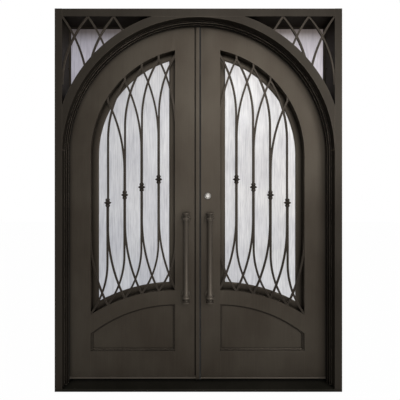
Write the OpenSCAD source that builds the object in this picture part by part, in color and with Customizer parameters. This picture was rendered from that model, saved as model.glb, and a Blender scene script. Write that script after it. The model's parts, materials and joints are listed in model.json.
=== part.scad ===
// Wrought iron double door in a rectangular frame with an arched opening.
// X runs across the door, +Y points indoors, +Z is up.
// The origin is the middle of the sill's underside, halfway through the frame.

/* [Frame] */
// Overall width of the frame
frame_w = 1829; // [1700:1:1900]
// Overall height of the frame
frame_h = 2438; // [2425:1:2500]
// Depth of the frame, outdoors to indoors
frame_d = 150; // [145:1:180]
// Width of a jamb's face
jamb_w = 47; // [40:1:60]
// Height of the head's face
head_h = 50; // [40:1:52]
// Thickness of the sill
sill_h = 15; // [10:1:15]
// Height of the arch's centre above the floor
spring_z = 1517; // [1500:1:1525]
// Width of the band that makes the arch
band_w = 52; // [45:1:60]

/* [Stops] */
// Depth of the reveal in front of the first step of the stop
stop_set_back = 45; // [30:1:50]
// Depth of the second step behind the first
stop_step_d = 20; // [10:1:25]
// How far the first step stands in from the jamb
stop_first_w = 13; // [10:0.5:14]
// How far the second step stands in from the jamb
stop_second_w = 17.5; // [15:0.5:20]

/* [Leaves] */
// Depth of the reveal in front of the leaves
leaf_set_back = 88; // [85:1:90]
// Thickness of a leaf
leaf_t = 50; // [44:1:55]
// Gap between a leaf's edge and the frame
edge_gap = 6.5; // [6:0.5:8]
// Width of the hinge stile and of the arched rail
stile_w = 150; // [140:1:160]
// From the middle of the door to the window's straight side
window_inner_x = 150; // [140:1:160]
// Gap between the two leaves
meeting_gap = 10; // [10:0.5:12]
// Width of the cover strip on the left leaf's meeting edge
astragal_w = 24; // [20:1:28]
// How far the cover strip stands proud of the leaf
astragal_proud = 4; // [2:0.5:5]
// Width of the shadow groove beside the cover strip
groove_w = 8; // [5:1:10]
// Depth of that groove
groove_d = 10; // [5:1:15]
// Height of the leaf's lower edge
leaf_bottom_z = 44; // [40:1:50]
// Top of the bottom rail
bottom_rail_top_z = 210; // [180:1:230]
// Highest point of the lower panel
panel_top_z = 522; // [500:1:530]
// Radius of the lower panel's curved top
panel_arc_r = 908; // [880:1:940]
// Highest point of the window's lower edge
window_sill_z = 615; // [600:1:630]
// Radius of the window's curved lower edge
window_arc_r = 1050; // [1020:1:1150]

/* [Lower panel] */
// Width of each of the two steps of the panel's moulding
moulding_step_w = 6.5; // [5:0.5:8]
// How far the outer step lies below the leaf's face
moulding_outer_d = 5; // [2:0.5:6]
// How far the inner step lies below the leaf's face
moulding_inner_d = 11; // [8:0.5:12]
// How far the panel lies below the leaf's face
panel_d = 17; // [14:0.5:18]

/* [Grille] */
// Width and thickness of a grille bar
bar_w = 12.7; // [10:0.1:14]
// Shift of each bar of a pair from their common centre line
pair_shift = 2; // [1:0.5:4]
// Position of the upright nearest the hinges
first_upright_x = 599; // [590:1:605]
// Distance between uprights
upright_step = 113.2; // [110:0.1:116]
// Radius of the upper bends towards the hinge side
upper_out_r = 1040; // [1000:10:1100]
// Radius of the upper bends towards the meeting side
upper_in_r = 760; // [720:10:800]
// Radius of the lower bends towards the hinge side
lower_out_r = 560; // [530:10:600]
// Radius of the lower bends towards the meeting side
lower_in_r = 1060; // [1000:10:1100]
// Length of the fused peak where two upper bends meet the arch
peak_h = 24; // [10:1:30]
// Distance between the peaks of the corner grilles
corner_step = 164; // [155:1:170]
// Radius of the bends in the corner grilles
corner_r = 850; // [800:10:900]
// Radius of the corner grille's bars that bow out towards the jamb
corner_bow_r = 650; // [600:10:700]

/* [Collars] */
// Height of the collar nearest the hinges
collar_first_z = 1197; // [1150:1:1250]
// Rise from one collar to the next
collar_step_z = 52; // [40:1:60]
// Widest radius of a collar
collar_r = 24.5; // [20:0.5:26]
// Radius of a collar's upper and lower rings
collar_ring_r = 14.5; // [13:0.5:17]
// Height of a collar
collar_h = 57; // [50:1:65]

/* [Glass] */
// Visible width of the glazed sash behind the window
sash_visible_w = 41; // [30:1:45]
// How far the sash overlaps the back of the leaf
sash_lap = 15; // [10:1:20]
// Thickness of the sash
sash_t = 12; // [10:1:14]
// Thickness of the glass
glass_t = 6; // [5:0.5:8]
// Width of the bead that holds the corner glass
bead_w = 8; // [5:1:12]
// Depth of that bead
bead_d = 12; // [8:1:16]
// Distance from the corner glass to the back of the frame
corner_glass_inset = 4; // [2:1:8]

/* [Handles] */
// From the middle of the door to a handle's axis
handle_x = 77.5; // [70:0.5:80]
// Lower end of a handle
handle_low_z = 550; // [500:1:600]
// Upper end of a handle
handle_high_z = 1133; // [1080:1:1180]
// Distance from the leaf's face to a handle's axis
handle_reach = 50; // [45:1:55]
// Radius of the grip
grip_r = 15.5; // [12:0.5:16.5]
// Radius of the turned rings at the grip's ends
handle_ring_r = 27; // [22:0.5:28]
// Radius of a handle's post
handle_post_r = 11; // [8:0.5:12]
// Radius of the round plate under a post
rose_r = 29; // [24:0.5:30]

/* [Lock] */
// From the middle of the door to the lock's axis
lock_x = 67; // [60:1:70]
// Height of the lock's axis
lock_z = 1243; // [1200:1:1280]
// Radius of the lock's round plate
lock_rose_r = 21.5; // [18:0.5:23]
// Radius of the lock's cylinder
lock_core_r = 14; // [12:0.5:16]

/* [Hinges] */
// Height of the lowest hinge
hinge_first_z = 235; // [200:1:260]
// Distance between hinges
hinge_step = 600; // [550:1:610]
// Length of a whole hinge
hinge_h = 92; // [80:2:110]
// Radius of a hinge's barrel
hinge_r = 9; // [8:0.5:10]
// Radius of a hinge's pin
pin_r = 6; // [5:0.5:6.5]

/* [Wall anchors] */
// Height of the lowest anchor hole
anchor_first_z = 300; // [250:1:350]
// Distance between anchor holes
anchor_step = 600; // [500:1:650]
// Radius of an anchor hole
anchor_r = 6; // [5:0.5:7]
// How far the anchor holes lie behind the middle of the frame
anchor_y = 38; // [25:1:50]

/* [Hidden] */
$fn = 144;

// Colours
bronze = [0.23, 0.21, 0.18];
bronze_light = [0.30, 0.27, 0.24];
glass_tint = [0.85, 0.86, 0.86, 0.6];
steel = [0.65, 0.64, 0.62];

// The frame's planes and radii
front_y = -frame_d / 2;
back_y = frame_d / 2;
opening_x = frame_w / 2 - jamb_w;
head_z = frame_h - head_h;
band_r = opening_x + band_w;
// The band starts just above the springing, where it is thick enough to be real
band_start_z = spring_z + 20;

// Running gap that keeps the leaves clear of the stops and the sill
run_gap = 5.5;
sweep_neck_h = 10;
astragal_lift = 12;

// The leaves' planes and radii
leaf_y = front_y + leaf_set_back;
leaf_back_y = leaf_y + leaf_t;
leaf_r = opening_x - edge_gap;
window_r = leaf_r - stile_w;
left_edge_x = astragal_w / 2;
right_edge_x = astragal_w / 2 + meeting_gap;
panel_arc_z = panel_top_z - panel_arc_r;
window_arc_z = window_sill_z - window_arc_r;
stop_back_y = leaf_y - run_gap;
sweep_z = sill_h + run_gap;
sweep_lip_z = leaf_bottom_z - sweep_neck_h;
sweep_inset = 4;
sweep_neck_inset = 14;
astragal_z = sill_h + astragal_lift;
// The proud face of the cover strip stops short of the arched stop
astragal_face_r = opening_x - stop_second_w - run_gap;

// Grille uprights, from the hinge side to the meeting side, with the two that the
// window's straight sides hide
function upright_x(i) =
    i == 0 ? window_r + bar_w / 2
    : i == 5 ? window_inner_x - bar_w / 2
    : first_upright_x - (i - 1) * upright_step;
// Height of the window's arch and of its lower edge at distance x from the middle
function arch_z(x) = spring_z + sqrt(window_r * window_r - min(x, window_r) * min(x, window_r));
function lower_z(x) =
    window_arc_z + sqrt(window_arc_r * window_arc_r - (x - window_inner_x) * (x - window_inner_x));
// Height gained by a bend of radius r that shifts a bar sideways by run
function bend_rise(r, run) = sqrt(2 * r * run - run * run);

// Hinge axis, behind the leaf and just inside the jamb
hinge_x = leaf_r - 4;
hinge_y = leaf_back_y + hinge_r + 3;
hinge_zs = [for (i = [0:2]) hinge_first_z + i * hinge_step];
pin_clearance = 0.1;
hinge_plate_t = 6;
hinge_plate_w = 48;

hinge_gap = 1;
pin_short = 7;
pin_bore_short = 6;

// Lock cylinder outdoors and thumb turn indoors
lock_rose_h = 7;
lock_core_h = 11;
turn_spindle_r = 7;
turn_spindle_h = 18;
turn_knob_w = 8;
turn_knob_h = 34;
turn_knob_d = 14;

// A collar's waist between its disc and its end rings, as heights above its middle
collar_edge_z = 1.5;
collar_taper_z = 8;
collar_waist_low_z = 10;
collar_waist_high_z = 15;
collar_ring_low_z = 17;
collar_ring_high_z = 24;
collar_waist_in = 2;
collar_tip_in = 4;
collar_taper_out = 1;

// Limits inside which the corners are drawn: they end on the head and the jamb before these
corner_inner_x = 200;
corner_low_z = 1700;
// Height of the block that the window's lower edge is cut from
window_cut_h = 300;

// Turned ends of a handle, from the tip inwards
handle_tip_h = 10;
handle_neck_h = 18;
handle_collar_h = 24;
handle_neck_r = 15;
handle_rim = 3;
rose_t = 6;

// Draws a flat shape, given in X and Z, as a slab between two Y planes
module slab(y_low, y_high) {
    translate([0, y_high, 0])
        rotate([90, 0, 0])
            linear_extrude(y_high - y_low)
                children();
}

module block(x_low, x_high, y_low, y_high, z_low, z_high) {
    translate([x_low, y_low, z_low])
        cube([x_high - x_low, y_high - y_low, z_high - z_low]);
}

module panel(x_low, x_high, z_low, z_high) {
    translate([x_low, z_low])
        square([x_high - x_low, z_high - z_low]);
}

module arch_circle(r) {
    translate([0, spring_z])
        circle(r, $fn = 360);
}

// Shapes are drawn for the right-hand side and mirrored for the left
module on_side(side) {
    mirror([side == "left" ? 1 : 0, 0, 0])
        children();
}

// ---------- frame ----------

module jamb(side) {
    color(bronze)
        on_side(side)
            difference() {
                block(opening_x, frame_w / 2, front_y, back_y, 0, frame_h);
                for (i = [0:3])
                    translate([opening_x - 1, anchor_y, anchor_first_z + i * anchor_step])
                        rotate([0, 90, 0])
                            cylinder(r = anchor_r, h = jamb_w + 2);
            }
}

module head() {
    color(bronze)
        block(-opening_x, opening_x, front_y, back_y, head_z, frame_h);
}

module sill() {
    color(bronze)
        block(-opening_x, opening_x, front_y, back_y, 0, sill_h);
}

module arch_band() {
    color(bronze)
        slab(front_y, back_y)
            intersection() {
                difference() {
                    arch_circle(band_r);
                    arch_circle(opening_x);
                }
                panel(-opening_x, opening_x, band_start_z, head_z);
            }
}

// One step of the stop, standing in from the jamb by w
module side_stop_step(w, y_low) {
    block(opening_x - w, opening_x, y_low, stop_back_y, sill_h, spring_z);
}

module side_stops() {
    color(bronze)
        for (side = ["left", "right"])
            on_side(side) {
                side_stop_step(stop_first_w, front_y + stop_set_back);
                side_stop_step(stop_second_w, front_y + stop_set_back + stop_step_d);
            }
}

module arch_stop_step(w, y_low) {
    slab(y_low, stop_back_y)
        intersection() {
            difference() {
                arch_circle(opening_x);
                arch_circle(opening_x - w);
            }
            panel(-opening_x, opening_x, spring_z, head_z);
        }
}

module arch_stop() {
    color(bronze) {
        arch_stop_step(stop_first_w, front_y + stop_set_back);
        arch_stop_step(stop_second_w, front_y + stop_set_back + stop_step_d);
    }
}

// The corner between the arch, the head and the jamb, drawn in by inset
module corner_shape(inset) {
    difference() {
        panel(corner_inner_x, opening_x - inset, corner_low_z, head_z - inset);
        arch_circle(band_r + inset);
    }
}

// ---------- bars ----------

// A bar bent to radius r, with its front on the plane Y = 0. It leaves an upright at (x, z)
// and shifts sideways by run. out is 1 towards the hinge side or -1 towards the meeting
// side, and up is 1 for a bend above z or -1 for one below it.
module bend(x, z, r, run, out, up) {
    translate([x + out * r, bar_w, z])
        mirror([out == 1 ? 1 : 0, 0, 0])
            mirror([0, 0, up == 1 ? 0 : 1])
                rotate([90, 0, 0])
                    rotate_extrude(angle = acos(1 - run / r))
                        translate([r - bar_w / 2, 0])
                            square(bar_w);
}

module upright(x, z_low, z_high) {
    block(x - bar_w / 2, x + bar_w / 2, 0, bar_w, z_low, z_high);
}

// Sideways shift of a bend that ends on the centre line of upright i - out
function bend_run(i, out) = abs(upright_x(i - out) - upright_x(i)) - pair_shift;
// Where the upper bend of upright i begins, and where its lower bend ends
function upper_start_z(i, out, r) =
    arch_z(upright_x(i - out)) - peak_h - bend_rise(r, bend_run(i, out));
function lower_start_z(i, out, r) =
    lower_z(upright_x(i - out)) + bend_rise(r, bend_run(i, out));

// A bend from upright i up to the arch, with the short peak that it ends in
module upper_bend(i, out, r) {
    peak_x = upright_x(i - out);
    bend(upright_x(i) + out * pair_shift, upper_start_z(i, out, r), r, bend_run(i, out), out, 1);
    upright(peak_x, arch_z(peak_x) - peak_h - bar_w / 2, arch_z(peak_x) + bar_w);
}

// A bend from upright i down past the window's lower edge
module lower_bend(i, out, r) {
    bend(upright_x(i) + out * pair_shift, lower_start_z(i, out, r), r,
        bend_run(i, out) + bar_w / 2, out, -1);
}

module grille_bars() {
    for (i = [1:4]) {
        upper_bend(i, -1, upper_in_r);
        upright(upright_x(i) - pair_shift, lower_start_z(i, -1, lower_in_r),
            upper_start_z(i, -1, upper_in_r));
        lower_bend(i, 1, lower_out_r);
        lower_bend(i, -1, lower_in_r);
    }
    for (i = [2:4])
        upright(upright_x(i) + pair_shift, lower_start_z(i, 1, lower_out_r),
            upper_start_z(i, 1, upper_out_r));
    // The outer bar of the first pair ends in its collar
    upright(upright_x(1) + pair_shift, lower_start_z(1, 1, lower_out_r), collar_first_z);
    for (i = [2:5])
        upper_bend(i, 1, upper_out_r);
    lower_bend(0, -1, lower_in_r);
    lower_bend(5, 1, lower_out_r);
}

// Bars of a corner grille: every peak on the head sends bars down both ways
module corner_bars() {
    rise = bend_rise(corner_r, corner_step);
    for (k = [1:3])
        bend(opening_x - k * corner_step, head_z - rise, corner_r, corner_step, 1, 1);
    bow_rise = bend_rise(corner_bow_r, corner_step);
    for (k = [0:1])
        bend(opening_x - k * corner_step, head_z - bow_rise, corner_bow_r, corner_step, -1, 1);
}

module corner_grilles() {
    color(bronze_light)
        for (side = ["left", "right"])
            on_side(side)
                translate([0, front_y, 0])
                    intersection() {
                        corner_bars();
                        slab(-1, bar_w + 1)
                            corner_shape(0);
                    }
}

module corner_glass() {
    color(glass_tint)
        for (side = ["left", "right"])
            on_side(side)
                slab(back_y - corner_glass_inset - glass_t, back_y - corner_glass_inset)
                    corner_shape(0);
}

module corner_beads() {
    color(bronze)
        for (side = ["left", "right"])
            on_side(side)
                slab(back_y - corner_glass_inset - glass_t - bead_d,
                    back_y - corner_glass_inset - glass_t)
                    difference() {
                        corner_shape(0);
                        corner_shape(bead_w);
                    }
}

module frame_hinges() {
    color(bronze)
        for (side = ["left", "right"], z = hinge_zs)
            on_side(side)
                translate([hinge_x, hinge_y, z]) {
                    translate([0, 0, -hinge_h / 2])
                        cylinder(r = hinge_r, h = hinge_h / 2 - hinge_gap);
                    translate([0, 0, -1])
                        cylinder(r = pin_r, h = hinge_h / 2 - pin_short);
                    translate([0, back_y - hinge_y, -hinge_h / 2])
                        cube([hinge_plate_w, hinge_plate_t, hinge_h / 2 - hinge_gap]);
                }
}

// ---------- leaves ----------

// The space under the arch out to a leaf's curved edge
module leaf_limit() {
    arch_circle(leaf_r);
    panel(0, leaf_r, 0, spring_z);
}

// The window's outline, drawn in by inset
module window_shape(inset) {
    difference() {
        intersection() {
            panel(window_inner_x + inset, window_r - inset, window_cut_h, frame_h);
            union() {
                arch_circle(window_r - inset);
                panel(0, window_r, 0, spring_z);
            }
        }
        translate([window_inner_x, window_arc_z])
            circle(window_arc_r + inset);
    }
}

// The lower panel's outline, drawn in by inset
module kick_shape(inset) {
    intersection() {
        panel(window_inner_x + inset, window_r - inset, bottom_rail_top_z + inset, spring_z);
        translate([window_inner_x, panel_arc_z])
            circle(panel_arc_r - inset);
    }
}

module hinge_stile(side) {
    color(bronze)
        on_side(side)
            block(window_r, leaf_r, leaf_y, leaf_back_y, leaf_bottom_z, spring_z);
}

module arch_rail(side) {
    color(bronze)
        on_side(side)
            slab(leaf_y, leaf_back_y)
                intersection() {
                    difference() {
                        arch_circle(leaf_r);
                        arch_circle(window_r);
                    }
                    panel(window_inner_x, leaf_r, spring_z, frame_h);
                }
}

module meeting_stile(side) {
    edge_x = side == "left" ? left_edge_x : right_edge_x;
    color(bronze)
        on_side(side)
            difference() {
                slab(leaf_y, leaf_back_y)
                    intersection() {
                        panel(edge_x, window_inner_x, leaf_bottom_z, frame_h);
                        leaf_limit();
                    }
                if (side == "left")
                    block(edge_x - 1, edge_x + groove_w, leaf_y - 1, leaf_y + groove_d,
                        leaf_bottom_z - 1, frame_h);
            }
}

module bottom_rail(side) {
    color(bronze)
        on_side(side)
            block(window_inner_x, window_r, leaf_y, leaf_back_y, leaf_bottom_z, bottom_rail_top_z);
}

module middle_rail(side) {
    color(bronze)
        on_side(side)
            slab(leaf_y, leaf_back_y)
                difference() {
                    intersection() {
                        panel(window_inner_x, window_r, bottom_rail_top_z, spring_z);
                        translate([window_inner_x, window_arc_z])
                            circle(window_arc_r);
                    }
                    translate([window_inner_x, panel_arc_z])
                        circle(panel_arc_r);
                }
}

module kick_panel(side) {
    color(bronze_light)
        on_side(side)
            slab(leaf_y + panel_d, leaf_back_y - panel_d)
                kick_shape(2 * moulding_step_w);
}

module kick_moulding(side) {
    color(bronze)
        on_side(side) {
            slab(leaf_y + moulding_outer_d, leaf_back_y - moulding_outer_d)
                difference() {
                    kick_shape(0);
                    kick_shape(moulding_step_w);
                }
            slab(leaf_y + moulding_inner_d, leaf_back_y - moulding_inner_d)
                difference() {
                    kick_shape(moulding_step_w);
                    kick_shape(2 * moulding_step_w);
                }
        }
}

module grille(side) {
    color(bronze_light)
        on_side(side)
            translate([0, leaf_y, 0])
                intersection() {
                    grille_bars();
                    slab(-1, bar_w + 1)
                        window_shape(0);
                }
}

// Half of a collar's outline, from its middle up to its top
function collar_half() = [
    [collar_r, 0],
    [collar_r, collar_edge_z],
    [collar_ring_r + collar_taper_out, collar_taper_z],
    [collar_ring_r - collar_waist_in, collar_waist_low_z],
    [collar_ring_r - collar_waist_in, collar_waist_high_z],
    [collar_ring_r, collar_ring_low_z],
    [collar_ring_r, collar_ring_high_z],
    [collar_ring_r - collar_tip_in, collar_h / 2]
];

module collars(side) {
    half = collar_half();
    last = len(half) - 1;
    color(bronze_light)
        on_side(side)
            for (i = [1:4])
                translate([upright_x(i), leaf_y + bar_w / 2, collar_first_z + (i - 1) * collar_step_z])
                    difference() {
                        rotate_extrude()
                            polygon(concat([[0, -collar_h / 2]],
                                [for (k = [last:-1:1]) [half[k][0], -half[k][1]]],
                                half, [[0, collar_h / 2]]));
                        translate([-bar_w / 2 - pair_shift, -bar_w / 2, -collar_h])
                            cube([bar_w + 2 * pair_shift, bar_w, 2 * collar_h]);
                    }
}

module sash(side) {
    color(bronze)
        on_side(side)
            slab(leaf_back_y, leaf_back_y + sash_t)
                difference() {
                    window_shape(-sash_lap);
                    window_shape(sash_visible_w);
                }
}

module glass(side) {
    color(glass_tint)
        on_side(side)
            slab(leaf_back_y + (sash_t - glass_t) / 2, leaf_back_y + (sash_t + glass_t) / 2)
                window_shape(sash_visible_w);
}

module door_sweep(side) {
    edge_x = side == "left" ? left_edge_x : right_edge_x;
    color(bronze_light)
        on_side(side) {
            block(edge_x, leaf_r, leaf_y + sweep_inset, leaf_back_y - sweep_inset,
                sweep_z, sweep_lip_z);
            block(edge_x, leaf_r, leaf_y + sweep_neck_inset, leaf_back_y - sweep_neck_inset,
                sweep_lip_z, leaf_bottom_z);
        }
}

// The cover strip's outline, under a round top of radius r
module astragal_shape(r) {
    intersection() {
        panel(-left_edge_x, left_edge_x, astragal_z, frame_h);
        union() {
            arch_circle(r);
            panel(-left_edge_x, left_edge_x, 0, spring_z);
        }
    }
}

module astragal() {
    color(bronze) {
        slab(leaf_y, leaf_back_y)
            astragal_shape(leaf_r);
        slab(leaf_y - astragal_proud, leaf_y)
            astragal_shape(astragal_face_r);
    }
}

// Turned outline of a handle's end, from its tip upwards
function handle_end(r_tip) = [
    [r_tip - handle_rim, 0],
    [r_tip, handle_rim],
    [r_tip, handle_tip_h - handle_rim],
    [handle_neck_r, handle_tip_h],
    [handle_neck_r, handle_tip_h + handle_neck_h],
    [r_tip, handle_tip_h + handle_neck_h + handle_rim],
    [r_tip, handle_tip_h + handle_neck_h + handle_collar_h - handle_rim],
    [grip_r, handle_tip_h + handle_neck_h + handle_collar_h]
];

// A pull handle whose posts run from its axis to the leaf's face at distance handle_reach
module pull_handle() {
    full_h = handle_high_z - handle_low_z;
    end = handle_end(handle_ring_r);
    last = len(end) - 1;
    post_z = handle_tip_h + handle_neck_h + handle_collar_h / 2;
    rotate_extrude()
        polygon(concat([[0, 0]], end,
            [for (k = [last:-1:0]) [end[k][0], full_h - end[k][1]]], [[0, full_h]]));
    for (z = [post_z, full_h - post_z])
        translate([0, 0, z])
            rotate([-90, 0, 0]) {
                cylinder(r = handle_post_r, h = handle_reach);
                translate([0, 0, handle_reach - rose_t])
                    cylinder(r = rose_r, h = rose_t);
            }
}

module outer_handle(side) {
    color(bronze_light)
        on_side(side)
            translate([handle_x, leaf_y - handle_reach, handle_low_z])
                pull_handle();
}

module inner_handle(side) {
    color(bronze_light)
        on_side(side)
            translate([handle_x, leaf_back_y + handle_reach, handle_low_z])
                rotate([0, 0, 180])
                    pull_handle();
}

module leaf_hinges(side) {
    color(bronze)
        on_side(side)
            for (z = hinge_zs)
                translate([hinge_x, hinge_y, z + hinge_gap])
                    difference() {
                        union() {
                            cylinder(r = hinge_r, h = hinge_h / 2 - hinge_gap);
                            translate([-hinge_plate_w, leaf_back_y - hinge_y, 0])
                                cube([hinge_plate_w, hinge_plate_t, hinge_h / 2 - hinge_gap]);
                        }
                        translate([0, 0, -1])
                            cylinder(r = pin_r + pin_clearance, h = hinge_h / 2 - pin_bore_short);
                    }
}

module lock_cylinder() {
    color(steel)
        translate([lock_x, leaf_y, lock_z])
            rotate([90, 0, 0]) {
                cylinder(r = lock_rose_r, h = lock_rose_h);
                cylinder(r = lock_core_r, h = lock_core_h);
            }
}

module thumb_turn() {
    color(steel)
        translate([lock_x, leaf_back_y, lock_z])
            rotate([-90, 0, 0]) {
                cylinder(r = lock_rose_r, h = lock_rose_h);
                cylinder(r = turn_spindle_r, h = turn_spindle_h);
                translate([-turn_knob_w / 2, -turn_knob_h / 2, lock_rose_h * 2])
                    cube([turn_knob_w, turn_knob_h, turn_knob_d]);
            }
}

jamb("left");  // left_jamb
jamb("right");  // right_jamb
head();
sill();
arch_band();
side_stops();
arch_stop();
corner_grilles();
corner_glass();
corner_beads();
frame_hinges();
hinge_stile("left");  // left_hinge_stile
arch_rail("left");  // left_arch_rail
meeting_stile("left");  // left_meeting_stile
middle_rail("left");  // left_middle_rail
bottom_rail("left");  // left_bottom_rail
kick_panel("left");  // left_kick_panel
kick_moulding("left");  // left_kick_moulding
grille("left");  // left_grille
collars("left");  // left_collars
sash("left");  // left_sash
glass("left");  // left_glass
door_sweep("left");  // left_door_sweep
outer_handle("left");  // left_outer_handle
inner_handle("left");  // left_inner_handle
leaf_hinges("left");  // left_leaf_hinges
astragal();
hinge_stile("right");  // right_hinge_stile
arch_rail("right");  // right_arch_rail
meeting_stile("right");  // right_meeting_stile
middle_rail("right");  // right_middle_rail
bottom_rail("right");  // right_bottom_rail
kick_panel("right");  // right_kick_panel
kick_moulding("right");  // right_kick_moulding
grille("right");  // right_grille
collars("right");  // right_collars
sash("right");  // right_sash
glass("right");  // right_glass
door_sweep("right");  // right_door_sweep
outer_handle("right");  // right_outer_handle
inner_handle("right");  // right_inner_handle
leaf_hinges("right");  // right_leaf_hinges
lock_cylinder();
thumb_turn();
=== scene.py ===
import json
import math

import bmesh
import bpy
from mathutils import Matrix, Vector, noise


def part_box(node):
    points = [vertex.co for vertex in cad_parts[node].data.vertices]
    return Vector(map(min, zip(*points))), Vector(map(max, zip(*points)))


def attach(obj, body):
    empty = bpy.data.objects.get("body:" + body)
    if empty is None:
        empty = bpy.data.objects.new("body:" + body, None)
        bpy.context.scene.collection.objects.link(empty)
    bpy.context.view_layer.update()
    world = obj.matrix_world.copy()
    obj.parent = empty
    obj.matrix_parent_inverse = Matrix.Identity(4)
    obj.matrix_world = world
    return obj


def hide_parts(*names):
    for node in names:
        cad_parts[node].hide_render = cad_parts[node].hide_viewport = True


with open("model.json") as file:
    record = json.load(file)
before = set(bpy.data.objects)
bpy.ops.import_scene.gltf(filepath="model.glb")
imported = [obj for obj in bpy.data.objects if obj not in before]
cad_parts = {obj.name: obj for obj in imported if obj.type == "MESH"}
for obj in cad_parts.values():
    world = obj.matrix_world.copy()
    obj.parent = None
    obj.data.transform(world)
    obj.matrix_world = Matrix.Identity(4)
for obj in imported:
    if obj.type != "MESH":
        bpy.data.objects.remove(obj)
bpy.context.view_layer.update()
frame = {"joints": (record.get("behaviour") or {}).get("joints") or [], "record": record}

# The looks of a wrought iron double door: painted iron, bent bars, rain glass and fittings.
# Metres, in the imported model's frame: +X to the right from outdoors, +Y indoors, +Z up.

MM = 0.001
SIDES = {"left": -1, "right": 1}

# ------------------------ sizes from the frame

head_low, head_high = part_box("head")
OPENING_X = head_high.x
HEAD_Z = head_low.z
FRAME_Z = head_high.z
FRONT_Y = head_low.y
BACK_Y = head_high.y
FRAME_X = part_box("right_jamb")[1].x
SILL_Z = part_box("sill")[1].z
SPRING_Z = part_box("arch_stop")[0].z
STOP_FRONT_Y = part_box("arch_stop")[0].y
STOP_BACK_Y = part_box("arch_stop")[1].y

stile_low, stile_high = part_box("right_hinge_stile")
WINDOW_R = stile_low.x
LEAF_R = stile_high.x
LEAF_Y = stile_low.y
LEAF_BACK_Y = stile_high.y
LEAF_Z = stile_low.z
INNER_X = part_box("right_meeting_stile")[1].x
EDGE_X = {"left": -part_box("left_meeting_stile")[1].x, "right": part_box("right_meeting_stile")[0].x}
RAIL_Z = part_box("right_bottom_rail")[1].z
WINDOW_SILL_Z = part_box("right_middle_rail")[1].z
PANEL_TOP_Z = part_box("right_kick_moulding")[1].z

# Sizes that the nodes' boxes don't give
BAND_W = 52 * MM
BAND_R = OPENING_X + BAND_W
STOP_FIRST_W = 13 * MM
STOP_SECOND_W = 17.5 * MM
STOP_STEP_D = 20 * MM
WINDOW_ARC_R = 1050 * MM
PANEL_ARC_R = 908 * MM
WINDOW_ARC_Z = WINDOW_SILL_Z - WINDOW_ARC_R
PANEL_ARC_Z = PANEL_TOP_Z - PANEL_ARC_R
GROOVE_W = 8 * MM
GROOVE_D = 10 * MM
SASH_VISIBLE_W = 41 * MM
SASH_LAP = 15 * MM
SASH_BACK_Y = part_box("right_sash")[1].y
GLASS_FRONT_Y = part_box("right_glass")[0].y
GLASS_BACK_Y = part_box("right_glass")[1].y
CORNER_GLASS_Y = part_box("corner_glass")[0].y
CORNER_GLASS_BACK_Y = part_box("corner_glass")[1].y

BAND_START_H = 20 * MM
COVER_STRIP_SHORT = 16.5 * MM
HANDLE_REACH = 50 * MM
HANDLE_POST_IN = 40 * MM
HINGE_H = 92 * MM
HINGE_STEP = 600 * MM
HINGE_HALF_GAP = 1 * MM
HINGE_PLATE_W = 48 * MM
HINGE_PLATE_T = 6 * MM
SWEEP_NECK_H = 10 * MM
SWEEP_NECK_IN = 10 * MM
SWEEP_LIFT = 4 * MM
SWEEP_BLADE_H = 5 * MM
FACEPLATE_HALF_H = 78 * MM
FACEPLATE_HALF_D = 7.5 * MM
FACEPLATE_T = 1.2 * MM
SCREW_FROM_LOCK = 66 * MM
DRILL_MARGIN = 5 * MM
# How far from its circle a point on an arch may lie and still count as on it
ARCH_TOLERANCE = 1.2 * MM

# Grille
BAR_W = 12.7 * MM
PAIR_SHIFT = 2 * MM
FIRST_UPRIGHT_X = 599 * MM
UPRIGHT_STEP = 113.2 * MM
UPPER_OUT_R = 1040 * MM
UPPER_IN_R = 760 * MM
LOWER_OUT_R = 560 * MM
LOWER_IN_R = 1060 * MM
PEAK_H = 24 * MM
CORNER_STEP = 164 * MM
CORNER_R = 850 * MM
CORNER_BOW_R = 650 * MM
COLLAR_Z = [(1197 + 52 * i) * MM for i in range(4)]

# ------------------------ materials


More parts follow.
